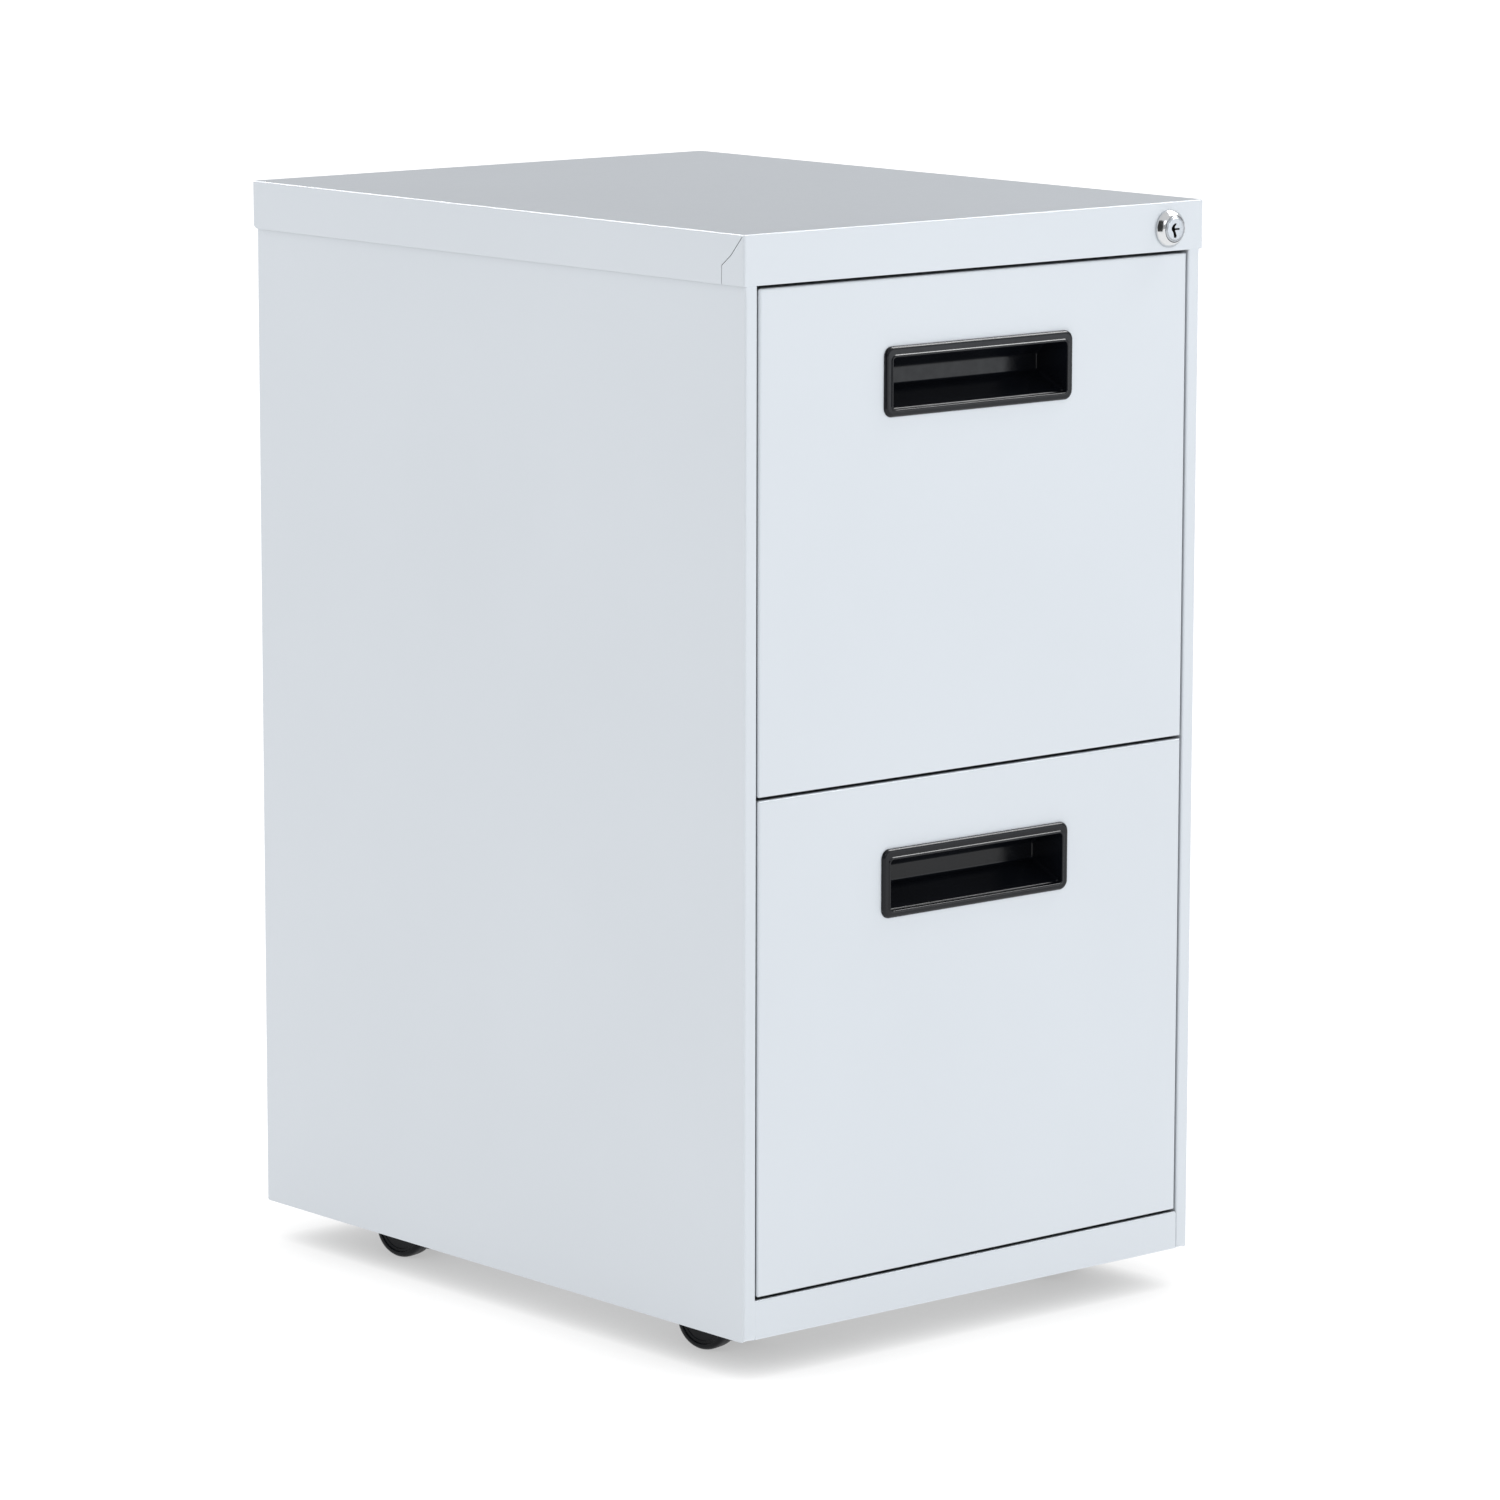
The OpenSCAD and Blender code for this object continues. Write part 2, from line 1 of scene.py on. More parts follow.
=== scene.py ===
import bpy, bmesh, json, math
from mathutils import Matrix, Quaternion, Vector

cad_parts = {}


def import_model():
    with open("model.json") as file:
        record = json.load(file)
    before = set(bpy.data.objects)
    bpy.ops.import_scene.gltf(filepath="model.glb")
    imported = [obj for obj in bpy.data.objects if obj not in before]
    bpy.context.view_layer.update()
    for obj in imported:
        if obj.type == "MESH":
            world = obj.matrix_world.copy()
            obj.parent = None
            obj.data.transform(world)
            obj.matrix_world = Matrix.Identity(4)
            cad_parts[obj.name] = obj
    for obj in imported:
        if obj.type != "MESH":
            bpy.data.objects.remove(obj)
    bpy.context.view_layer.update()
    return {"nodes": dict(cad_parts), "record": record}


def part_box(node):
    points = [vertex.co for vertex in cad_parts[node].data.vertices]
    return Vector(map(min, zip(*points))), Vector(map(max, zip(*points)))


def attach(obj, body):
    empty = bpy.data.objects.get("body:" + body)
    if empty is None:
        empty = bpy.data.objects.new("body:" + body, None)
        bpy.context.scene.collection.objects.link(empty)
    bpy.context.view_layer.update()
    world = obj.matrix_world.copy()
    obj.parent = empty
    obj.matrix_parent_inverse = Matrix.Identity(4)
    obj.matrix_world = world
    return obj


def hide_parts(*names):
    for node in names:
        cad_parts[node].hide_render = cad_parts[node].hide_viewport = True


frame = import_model()
rec = frame["record"]
scene = bpy.context.scene
MM = 0.001


# ---------------------------------------------------------------- camera
def make_camera():
    a, e = math.radians(-40.59081), math.radians(9.77482)
    back = Vector((math.sin(a) * math.cos(e), -math.cos(a) * math.cos(e), math.sin(e)))
    cam = bpy.data.objects.new("camera", bpy.data.cameras.new("camera"))
    scene.collection.objects.link(cam)
    cam.data.sensor_fit = "AUTO"
    cam.data.sensor_width = 36.0
    cam.data.lens = 159.07
    cam.data.clip_start, cam.data.clip_end = 0.1, 200
    cam.data.dof.use_dof = False
    cam.location = (-2.75099, -3.23728, 1.07334)
    cam.rotation_mode = "QUATERNION"
    cam.rotation_quaternion = (-back).to_track_quat("-Z", "Y") @ Quaternion((0, 0, 1), math.radians(0.10547))
    scene.camera = cam
    return cam


make_camera()
scene.view_settings.view_transform = "Standard"
scene.view_settings.look = "None"
scene.view_settings.exposure = 0.0
scene.view_settings.gamma = 1.0


# ---------------------------------------------------------------- materials
class Mat:
    """A node material being built."""

    def __init__(self, name):
        self.m = bpy.data.materials.new(name)
        self.m.use_nodes = True
        self.t = self.m.node_tree
        self.p = self.t.nodes["Principled BSDF"]
        self.co = self.t.nodes.new("ShaderNodeTexCoord").outputs["Object"]

    def node(self, kind, **inputs):
        n = self.t.nodes.new(kind)
        for k, v in inputs.items():
            n.inputs[k].default_value = v
        return n

    def link(self, a, b):
        self.t.links.new(a, b)

    def stretched(self, sx, sy, sz):
        n = self.node("ShaderNodeMapping")
        n.inputs["Scale"].default_value = (sx, sy, sz)
        self.link(self.co, n.inputs["Vector"])
        return n.outputs["Vector"]

    def noise(self, scale, detail=2.0, rough=0.5, vector=None):
        n = self.node("ShaderNodeTexNoise")
        n.inputs["Scale"].default_value = scale
        n.inputs["Detail"].default_value = detail
        n.inputs["Roughness"].default_value = rough
        self.link(vector or self.co, n.inputs["Vector"])
        return n.outputs["Fac"]

    def ramp(self, fac, stops):
        n = self.node("ShaderNodeValToRGB")
        cr = n.color_ramp
        while len(cr.elements) > 2:
            cr.elements.remove(cr.elements[-1])
        cr.elements[0].position, cr.elements[0].color = stops[0][0], (*stops[0][1], 1)
        cr.elements[1].position, cr.elements[1].color = stops[-1][0], (*stops[-1][1], 1)
        for pos, c in stops[1:-1]:
            e = cr.elements.new(pos)
            e.color = (*c, 1)
        self.link(fac, n.inputs["Fac"])
        return n.outputs["Color"]

    def range(self, fac, lo, hi, f0=0.3, f1=0.7):
        n = self.node("ShaderNodeMapRange")
        n.inputs["From Min"].default_value, n.inputs["From Max"].default_value = f0, f1
        n.inputs["To Min"].default_value, n.inputs["To Max"].default_value = lo, hi
        self.link(fac, n.inputs["Value"])
        return n.outputs["Result"]

    def add(self, a, b, op="ADD"):
        n = self.node("ShaderNodeMath")
        n.operation = op
        for i, v in enumerate((a, b)):
            if isinstance(v, (int, float)):
                n.inputs[i].default_value = v
            else:
                self.link(v, n.inputs[i])
        return n.outputs[0]

    def bump(self, height, strength, distance):
        n = self.node("ShaderNodeBump")
        n.inputs["Strength"].default_value = strength
        n.inputs["Distance"].default_value = distance
        self.link(height, n.inputs["Height"])
        self.link(n.outputs["Normal"], self.p.inputs["Normal"])

    def color(self, c):
        self.link(c, self.p.inputs["Base Color"])

    def rough(self, r):
        self.link(r, self.p.inputs["Roughness"])


def scaled(c, k):
    return tuple(min(1.0, x * k) for x in c)


def paint(name, base, rough=0.4, coat=0.3, spread=0.012, grain=0.05, gap_shade=0.3, reach=7.0):
    """Powder coat: very fine even texture, a slow cloudiness in tone, satin coat, and painted shade deep in the gaps:
    the colour is darkened towards a fraction of the base where ambient occlusion within a few millimetres is low.
    """
    m = Mat(name)
    slow = m.noise(5.5, 3.0, 0.55)
    fine = m.noise(1500, 2.0, 0.6)
    tone = m.add(m.add(slow, 0.85, "MULTIPLY"), m.add(fine, 0.15, "MULTIPLY"))
    body = m.ramp(tone, [(0.3, scaled(base, 1 - spread)), (0.5, base), (0.7, scaled(base, 1 + spread))])
    # painted shade: ambient occlusion darkens the colour in gaps and recesses, where shade falls
    ao = m.node("ShaderNodeAmbientOcclusion")
    ao.inputs["Distance"].default_value = reach * MM
    ao.samples = 8
    mix = m.node("ShaderNodeMix")
    mix.data_type = "RGBA"
    mix.inputs[6].default_value = (*scaled(base, gap_shade), 1)
    m.link(m.range(ao.outputs["AO"], 0.0, 1.0, 0.12, 0.55), mix.inputs[0])
    m.link(body, mix.inputs[7])
    m.color(mix.outputs[2])
    m.rough(m.range(m.noise(240, 3.0), rough - 0.03, rough + 0.03))
    m.bump(m.add(fine, m.add(m.noise(420, 2.0), 0.6, "MULTIPLY")), grain, 0.00025)
    m.p.inputs["IOR"].default_value = 1.5
    m.p.inputs["Coat Weight"].default_value = coat
    m.p.inputs["Coat Roughness"].default_value = 0.2
    return m.m


def plated(name, base, rough=0.33, along=(1, 0.015, 1), tint=(1.0, 0.985, 0.93)):
    """Zinc plated strip: rolled grain along the strip and the faint warm bloom of passivation."""
    m = Mat(name)
    grain = m.noise(900, 3.0, 0.6, m.stretched(*along))
    bloom = m.noise(26, 2.0)
    warm = tuple(b * t for b, t in zip(base, tint))
    c1 = m.ramp(grain, [(0.3, scaled(base, 0.9)), (0.7, base)])
    mix = m.node("ShaderNodeMix")
    mix.data_type = "RGBA"
    mix.blend_type = "MULTIPLY"
    mix.inputs[0].default_value = 0.6
    m.link(c1, mix.inputs[6])
    m.link(m.ramp(bloom, [(0.35, (1, 1, 1)), (0.7, tuple(w / b for w, b in zip(warm, base)))]), mix.inputs[7])
    m.color(mix.outputs[2])
    m.rough(m.range(grain, rough - 0.06, rough + 0.1))
    m.bump(grain, 0.06, 0.0001)
    m.p.inputs["Metallic"].default_value = 1.0
    return m.m


def plastic(name, base, rough=0.42, grain=0.25, scale=2600, spread=0.12, specular=0.5, coat=0.0):
    """Moulded plastic with a fine spark-eroded grain."""
    m = Mat(name)
    cell = m.node("ShaderNodeTexVoronoi")
    cell.inputs["Scale"].default_value = scale
    m.link(m.co, cell.inputs["Vector"])
    fine = m.noise(scale * 0.7, 3.0)
    slow = m.noise(30, 2.0)
    m.color(m.ramp(slow, [(0.3, scaled(base, 1 - spread)), (0.7, scaled(base, 1 + spread))]))
    m.rough(m.range(m.noise(180, 3.0), rough - 0.04, rough + 0.05))
    m.bump(m.add(cell.outputs["Distance"], fine), grain, 0.00008)
    m.p.inputs["Specular IOR Level"].default_value = specular
    m.p.inputs["Coat Weight"].default_value = coat
    m.p.inputs["Coat Roughness"].default_value = 0.12
    return m.m


def chrome(name, base=(0.78, 0.78, 0.8), rough=0.1):
    m = Mat(name)
    slow = m.noise(300, 3.0)
    scratch = m.noise(1400, 4.0, 0.7, m.stretched(1, 1, 0.08))
    m.color(m.ramp(slow, [(0.3, scaled(base, 0.97)), (0.7, base)]))
    m.rough(m.range(scratch, rough - 0.03, rough + 0.06))
    m.bump(scratch, 0.02, 0.00005)
    m.p.inputs["Metallic"].default_value = 1.0
    return m.m


def rubber(name, base=(0.03, 0.03, 0.032), rough=0.7, scale=1800):
    m = Mat(name)
    m.color(m.ramp(m.noise(60, 3.0), [(0.3, scaled(base, 0.8)), (0.7, scaled(base, 1.25))]))
    m.rough(m.range(m.noise(500, 2.0), rough - 0.06, rough + 0.06))
    m.bump(m.noise(scale, 3.0), 0.25, 0.0001)
    return m.m


def cast(name, base=(0.05, 0.05, 0.055)):
    m = Mat(name)
    lumps = m.noise(160, 6.0, 0.65)
    m.color(m.ramp(lumps, [(0.3, scaled(base, 0.7)), (0.7, scaled(base, 1.5))]))
    m.rough(m.range(lumps, 0.55, 0.8))
    m.bump(lumps, 0.5, 0.0008)
    return m.m


GREY = (0.702, 0.744, 0.785)
SLOT = {
    # painted_steel, drawer_paint and stile_paint are one paint with painted gap shade of different depth: darkest,
    # lighter, none; inner_steel is greyer and carries a lighter painted gap shade
    "painted_steel": paint("painted_steel", GREY, gap_shade=0.04),
    "drawer_paint": paint("drawer_paint", GREY, gap_shade=0.14),
    "stile_paint": paint("stile_paint", GREY, gap_shade=1.0),
    "inner_steel": paint("inner_steel", (0.66, 0.69, 0.725), rough=0.46, coat=0.1, gap_shade=0.35),
    "zinc_steel": plated("zinc_steel", (0.62, 0.63, 0.65)),
    "ball_cage_steel": plated("ball_cage_steel", (0.55, 0.54, 0.5), 0.25),
    "cast_weight": cast("cast_weight"),
    "lock_chrome": chrome("lock_chrome", (0.66, 0.67, 0.68), 0.12),
    "core_chrome": chrome("core_chrome", (0.42, 0.44, 0.465), 0.24),
    # near-black painted shade for the walls of the keyway slot
    "keyway_painted_shade": rubber("keyway_painted_shade", (0.012, 0.011, 0.010), 0.5, 2400),
    "black_plastic": plastic("black_plastic", (0.0046, 0.0056, 0.0080), 0.2, 0.03, 2200, 0.15, 0.27),
    "caster_plastic": plastic("caster_plastic", (0.0030, 0.0042, 0.0064), 0.3, 0.1, specular=0.22),
    "tread_plastic": plastic("tread_plastic", (0.004, 0.0048, 0.0066), 0.42, 0.1, specular=0.24),
    "bumper_rubber": rubber("bumper_rubber"),
}
slot_of = {s["node"]: s["material_slot"] for s in rec["subparts"]}


# ---------------------------------------------------------------- CAD nodes that stay
def dress(o, slot, bevel=0.12, angle=40):
    me = o.data
    me.materials.clear()
    me.materials.append(SLOT[slot])
    for p in me.polygons:
        p.material_index = 0
        p.use_smooth = True
    w = o.modifiers.new("weld", "WELD")
    w.merge_threshold = 1e-6
    d = o.modifiers.new("flat", "DECIMATE")
    d.decimate_type = "DISSOLVE"
    d.angle_limit = math.radians(1.0)
    if bevel:
        b = o.modifiers.new("edge", "BEVEL")
        b.limit_method = "ANGLE"
        b.angle_limit = math.radians(angle)
        b.width = bevel * MM
        b.segments = 2
        b.use_clamp_overlap = True
        b.harden_normals = False
    n = o.modifiers.new("normals", "WEIGHTED_NORMAL")
    n.keep_sharp = False
    n.weight = 80


for name, o in frame["nodes"].items():
    # drawer fronts take the paint with lighter painted gap shade, the side panels the one without painted gap shade
    if name.endswith("drawer_front"):
        dress(o, "drawer_paint", bevel=0.12)
    elif name in ("left_side_panel", "right_side_panel"):
        dress(o, "stile_paint", bevel=0.12)
    elif name.endswith("caster_hood"):
        dress(o, slot_of[name], bevel=0.55)
    else:
        dress(o, slot_of[name], bevel=0.12)


# ---------------------------------------------------------------- mesh helpers
def finish_mesh(bm, name, slot, body, nodes=(), sharp=35, smooth=True):
    """Turns bm (in millimetres) into a piece that rides on a body and stands for CAD nodes."""
    bmesh.ops.recalc_face_normals(bm, faces=bm.faces)
    bmesh.ops.scale(bm, vec=(MM, MM, MM), verts=bm.verts)
    for f in bm.faces:
        f.smooth = smooth
    lim = math.radians(sharp)
    for e in bm.edges:
        if len(e.link_faces) == 2 and e.calc_face_angle(0) > lim:
            e.smooth = False
    me = bpy.data.meshes.new(name)
    bm.to_mesh(me)
    bm.free()
    o = bpy.data.objects.new(name, me)
    scene.collection.objects.link(o)
    me.materials.append(SLOT[slot])
    n = o.modifiers.new("normals", "WEIGHTED_NORMAL")
    n.keep_sharp = True
    n.weight = 60
    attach(o, body)
    if nodes:
        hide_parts(*nodes)
    return o


def rr_loop(x0, x1, z0, z1, r, y, n=8):
    """Rounded rectangle in the XZ plane at depth y, as 4(n+1) points."""
    r = max(0.05, min(r, (x1 - x0) / 2 - 0.01, (z1 - z0) / 2 - 0.01))
    pts = []
    for cx, cz, a0 in ((x1 - r, z1 - r, 0), (x0 + r, z1 - r, 90), (x0 + r, z0 + r, 180), (x1 - r, z0 + r, 270)):
        for i in range(n + 1):
            a = math.radians(a0 + 90 * i / n)
            pts.append(Vector((cx + r * math.cos(a), y, cz + r * math.sin(a))))
    return pts


def loft(bm, loops, cap_start=True, cap_end=True):
    rings = [[bm.verts.new(p) for p in lp] for lp in loops]
    n = len(rings[0])
    for a, b in zip(rings, rings[1:]):
        for i in range(n):
            bm.faces.new((a[i], a[(i + 1) % n], b[(i + 1) % n], b[i]))
    if cap_start:
        bm.faces.new(rings[0])
    if cap_end:
        bm.faces.new(list(reversed(rings[-1])))
    return rings


# ---------------------------------------------------------------- recessed pulls
def pull(which):
    lo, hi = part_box(which + "_handle")
    f0, f1 = lo.z / MM, hi.z / MM
    hw = hi.x / MM
    yb = lo.y / MM + 2.5          # drawer front's plane
    o0, o1, ox = f0 + 4.9, f1 - 6.8, hw - 5.8
    L = []
    slope = 12 / 25.0

    def ceil(d):                  # the cup's ceiling slopes down behind the grip pocket
        return o1 + 3.0 - max(0.0, d - 15.0) * 1.22

    def outer(d):
        return (o0 - 1.8 + max(0.0, slope * d), min(o1 + 4.6, ceil(d) + 2.7))

    # back of the cup, outside
    z0, z1 = outer(25.2)
    L.append(rr_loop(-ox - 0.6, ox + 0.6, z0 + 1.2, z1 - 1.2, 2.0, yb + 26.8))
    L.append(rr_loop(-ox - 1.3, ox + 1.3, z0 + 0.3, z1 - 0.4, 2.6, yb + 26.4))
    L.append(rr_loop(-ox - 1.8, ox + 1.8, z0, z1, 3.0, yb + 25.4))
    z0, z1 = outer(15.9)
    L.append(rr_loop(-ox - 1.8, ox + 1.8, z0, z1, 3.0, yb + 15.9))
    z0, z1 = outer(0.4)
    L.append(rr_loop(-ox - 1.8, ox + 1.8, z0, z1, 3.0, yb + 1.0))
    L.append(rr_loop(-ox - 1.8, ox + 1.8, z0, z1, 3.0, yb + 0.05))
    # frame: back rim, rolled outer edge, flat land
    L.append(rr_loop(-hw + 0.05, hw - 0.05, f0 + 0.05, f1 - 0.05, 5.9, yb + 0.05))
    L.append(rr_loop(-hw, hw, f0, f1, 6.0, yb - 0.15))
    R = 2.15
    for k in range(0, 7):
        a = math.radians(90 * k / 6)
        i, d = R * (1 - math.cos(a)), 0.25 + (R - 0.05) * math.sin(a)
        L.append(rr_loop(-hw + i, hw - i, f0 + i, f1 - i, 6.0 - i * 0.8, yb - d))
    top = 0.25 + R - 0.05

    def lip(g, d, r):
        L.append(rr_loop(-ox - g, ox + g, o0 - g, o1 + g, r, yb - d))

    lip(2.0, top, 4.0)
    lip(1.75, top + 0.02, 3.8)
    lip(1.55, top + 0.22, 3.6)
    lip(1.3, top + 0.5, 3.4)
    lip(0.95, top + 0.62, 3.1)
    lip(0.6, top + 0.6, 2.8)
    lip(0.25, top + 0.42, 2.5)
    lip(0.05, top + 0.05, 2.3)
    lip(0.0, top - 0.6, 2.2)
    lip(0.0, -1.2, 2.2)

    # inside the cup: pocket behind the upper lip, sloping floor and ceiling, straight back
    def inner(d, g=0.0, r=2.4, top=None):
        L.append(rr_loop(-ox + g, ox - g, o0 + slope * max(0.0, d - 0.6) + g, (ceil(d) if top is None else o1 + top) - g, r, yb + d))

    inner(1.45, top=0.6)
    inner(1.6, top=2.6)
    inner(1.9)
    inner(6.0)
    inner(14.2)
    inner(14.8, top=2.9)
    inner(15.4, top=2.3)
    inner(16.2)
    inner(23.6, 0.0, 2.3)
    inner(24.5, 0.2, 2.1)
    inner(24.9, 0.5, 1.9)
    inner(25.0, 0.9, 1.6)
    inner(25.0, 1.3, 1.3)
    bm = bmesh.new()
    loft(bm, L)
    return finish_mesh(bm, which + "_pull", "black_plastic", which + "_drawer", [which + "_handle"], sharp=38)


pull("upper")
pull("lower")


# ---------------------------------------------------------------- lock
def revolve_y(bm, cx, cz, profile, n=96):
    """profile: (radius, y) pairs, turned about an axis along Y."""
    rings = []
    for r, y in profile:
        if r < 1e-6:
            rings.append([bm.verts.new((cx, y, cz))])
        else:
            rings.append([bm.verts.new((cx + r * math.cos(2 * math.pi * i / n), y, cz + r * math.sin(2 * math.pi * i / n))) for i in range(n)])
    for a, b in zip(rings, rings[1:]):
        for i in range(n):
            j = (i + 1) % n
            if len(a) == 1 and len(b) == 1:
                continue
            if len(a) == 1:
                bm.faces.new((a[0], b[j], b[i]))
            elif len(b) == 1:
                bm.faces.new((a[i], a[j], b[0]))
            else:
                bm.faces.new((a[i], a[j], b[j], b[i]))
    return rings


def arc_pts(cr, cy, r, a0, a1, n=6):
    return [(cr + r * math.cos(math.radians(a0 + (a1 - a0) * i / n)), cy + r * math.sin(math.radians(a0 + (a1 - a0) * i / n))) for i in range(n + 1)]


def lock():
    lo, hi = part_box("lock_housing")
    cx, cz = (lo.x + hi.x) / 2 / MM, (lo.z + hi.z) / 2 / MM
    back = hi.y / MM
    plo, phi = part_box("lock_plug")
    yl = plo.y / MM + 6.0               # lid front plane
    # ring and barrel: a tall rounded ring that leans in towards the core
    prof = [(6.55, back), (8.4, back), (9.0, back - 0.5)]
    y = back - 0.8
    while y > yl + 1.6:                  # thread on the barrel
        prof += [(9.0, y), (8.55, y - 0.5)]
        y -= 1.0
    prof += [(9.0, yl + 0.6), (9.0, yl), (11.9, yl), (12.03, yl - 0.2), (12.05, yl - 0.7), (11.97, yl - 1.15), (11.78, yl - 1.6), (11.45, yl - 2.15),
             (11.05, yl - 2.75), (10.6, yl - 3.35), (10.15, yl - 3.9), (9.7, yl - 4.35), (9.3, yl - 4.72), (8.98, yl - 5.0), (8.75, yl - 5.15),
             (8.58, yl - 5.18), (8.45, yl - 5.05), (8.38, yl - 4.7), (8.35, yl - 0.6), (6.55, yl - 0.6)]
    bm = bmesh.new()
    rings = revolve_y(bm, cx, cz, prof)
    n = len(rings[0])
    for i in range(n):                   # close the tube
        j = (i + 1) % n
        bm.faces.new((rings[-1][i], rings[-1][j], rings[0][j], rings[0][i]))
    finish_mesh(bm, "lock_ring", "lock_chrome", "cabinet", ["lock_housing"], sharp=40)
    # keyed core, with a turned line round its face
    pb = phi.y / MM
    prof = [(0, yl - 6.0), (3.0, yl - 6.0), (6.1, yl - 5.98), (6.75, yl - 5.93), (6.95, yl - 5.7), (7.1, yl - 5.62), (7.25, yl - 5.7), (7.4, yl - 5.72),
            (7.8, yl - 5.6), (8.08, yl - 5.3), (8.2, yl - 4.9), (8.22, yl - 4.2), (8.22, yl - 0.7), (6.5, yl - 0.65),
            (6.5, pb - 4.3 - 0.2), (6.2, pb - 4.1), (4.9, pb - 4.1), (4.9, pb - 0.9), (4.3, pb - 0.8), (4.3, pb - 0.15), (4.0, pb), (0, pb)]
    bm = bmesh.new()
    revolve_y(bm, cx, cz, prof)
    core = finish_mesh(bm, "lock_core", "core_chrome", "lock_cylinder", ["lock_plug"], sharp=40)
    cut = bmesh.new()
    # keyway outline seen from the front: a wavy slot with a ward to the right
    out = [(0.5, 3.6), (-0.6, 3.7), (-1.9, 2.7), (-2.8, 1.2), (-2.8, -0.3), (-2.0, -1.6), (-1.5, -2.9), (-1.3, -4.4), (-1.2, -5.4),
           (0.2, -5.4), (0.6, -4.4), (0.3, -3.0), (-0.2, -1.7), (-0.5, -0.55), (2.5, -0.55), (2.5, 0.6), (-0.7, 0.6), (-0.6, 1.7), (0.1, 2.6)]
    fr = [cut.verts.new((cx + p[0] * 1.3, yl - 8, cz + p[1])) for p in out]
    bk = [cut.verts.new((cx + p[0] * 1.3, yl + 5, cz + p[1])) for p in out]
    m = len(out)
    for i in range(m):
        cut.faces.new((fr[i], fr[(i + 1) % m], bk[(i + 1) % m], bk[i]))
    cut.faces.new(list(reversed(fr)))
    cut.faces.new(bk)
    bmesh.ops.recalc_face_normals(cut, faces=cut.faces)
    bmesh.ops.triangulate(cut, faces=[f for f in cut.faces if len(f.verts) > 4])
    bmesh.ops.scale(cut, vec=(MM, MM, MM), verts=cut.verts)
    cme = bpy.data.meshes.new("keyway_cut")
    cut.to_mesh(cme)
    cut.free()
    # the keyway's cut walls take the near-black painted shade
    cme.materials.append(SLOT["keyway_painted_shade"])
    core.data.materials.append(SLOT["keyway_painted_shade"])
    co = bpy.data.objects.new("keyway_cut", cme)
    scene.collection.objects.link(co)
    b = core.modifiers.new("keyway", "BOOLEAN")
    b.operation = "DIFFERENCE"
    b.solver = "EXACT"
    b.object = co
    b.material_mode = "TRANSFER"
    dg = bpy.context.evaluated_depsgraph_get()
    res = bpy.data.meshes.new_from_object(core.evaluated_get(dg))
    core.modifiers.remove(b)
    core.data = res
    bpy.data.objects.remove(co)


lock()


# ---------------------------------------------------------------- caster wheels
def wheel_pair(key):
    """Two wheels on one axle: crowned treads with a moulding line, shallow dished faces, and hub caps."""
    j = next(j for j in rec["behaviour"]["joints"] if j["name"] == key + "_wheel_roll")
    p = Vector(j["pos_m"]) / MM
    ax = Vector(j["axis"]).normalized()
    up = Vector((0, 0, 1))
    side = up.cross(ax)
    N = 96
    bm = bmesh.new()
    # radius, distance along the axle, share of the dish depth
    prof = [(3.08, 6.75, 0), (6.2, 6.75, 0), (6.6, 7.3, 0), (15.4, 7.3, 0), (15.9, 6.75, 0), (18.2, 6.75, 0), (19.0, 7.05, 0), (19.5, 7.6, 0), (19.78, 8.5, 0),
            (19.93, 10.2, 0), (19.98, 12.2, 0), (19.98, 13.85, 0), (19.86, 13.95, 0), (19.86, 14.25, 0), (19.98, 14.35, 0), (19.98, 16.2, 0), (19.88, 18.0, 0),
            (19.55, 19.3, 0), (19.0, 20.3, 0), (18.2, 21.0, 0), (17.4, 21.35, 0), (16.6, 21.45, 0), (16.1, 21.3, 0), (15.8, 20.9, 0), (15.7, 20.2, 0),
            (14.6, 20.0, 0), (14.1, 19.9, 0.0), (13.9, 19.8, 1), (9.0, 19.8, 1), (8.8, 19.9, 0.0), (8.2, 20.0, 0),
            (6.5, 20.0, 0), (6.3, 20.6, 0), (6.0, 21.1, 0), (5.4, 21.35, 0), (4.4, 21.4, 0), (3.08, 21.3, 0)]
    for s in (-1, 1):
        rings = []
        for r, x, pocket in prof:
            ring = []
            for i in range(N):
                a = 2 * math.pi * i / N
                ring.append(bm.verts.new(p + ax * (s * (x - 0.35 * pocket)) + side * (r * math.cos(a)) + up * (r * math.sin(a))))
            rings.append(ring)
        for a, b in zip(rings, rings[1:] + rings[:1]):
            for i in range(N):
                k = (i + 1) % N
                bm.faces.new((a[i], a[k], b[k], b[i]) if s > 0 else (a[i], b[i], b[k], a[k]))
    o = finish_mesh(bm, key + "_twin_wheels", "tread_plastic", key + "_wheel", [key + "_caster_wheels"], sharp=32)
    return o


for key in ("front_left", "front_right", "rear_left", "rear_right"):
    wheel_pair(key)


# ---------------------------------------------------------------- slide members with their punched holes
def prism(bm, pts, axis, a, b):
    """Closed prism; pts are the two coordinates that remain, in XYZ order."""
    def at(p, d):
        c = [p[0], p[1]]
        c.insert(axis, d)
        return bm.verts.new(c)
    lo = [at(p, a) for p in pts]
    hi = [at(p, b) for p in pts]
    n = len(pts)
    for i in range(n):
        bm.faces.new((lo[i], lo[(i + 1) % n], hi[(i + 1) % n], hi[i]))
    bm.faces.new(list(reversed(lo)))
    bm.faces.new(hi)


def stadium(y, z, length, r, n=8):
    h = length / 2 - r
    return ([(y + h + r * math.cos(math.radians(a)), z + r * math.sin(math.radians(a))) for a in [-90 + 180 * i / n for i in range(n + 1)]] +
            [(y - h + r * math.cos(math.radians(a)), z + r * math.sin(math.radians(a))) for a in [90 + 180 * i / n for i in range(n + 1)]])


def circle(y, z, r, n=20):
    return [(y + r * math.cos(2 * math.pi * i / n), z + r * math.sin(2 * math.pi * i / n)) for i in range(n)]


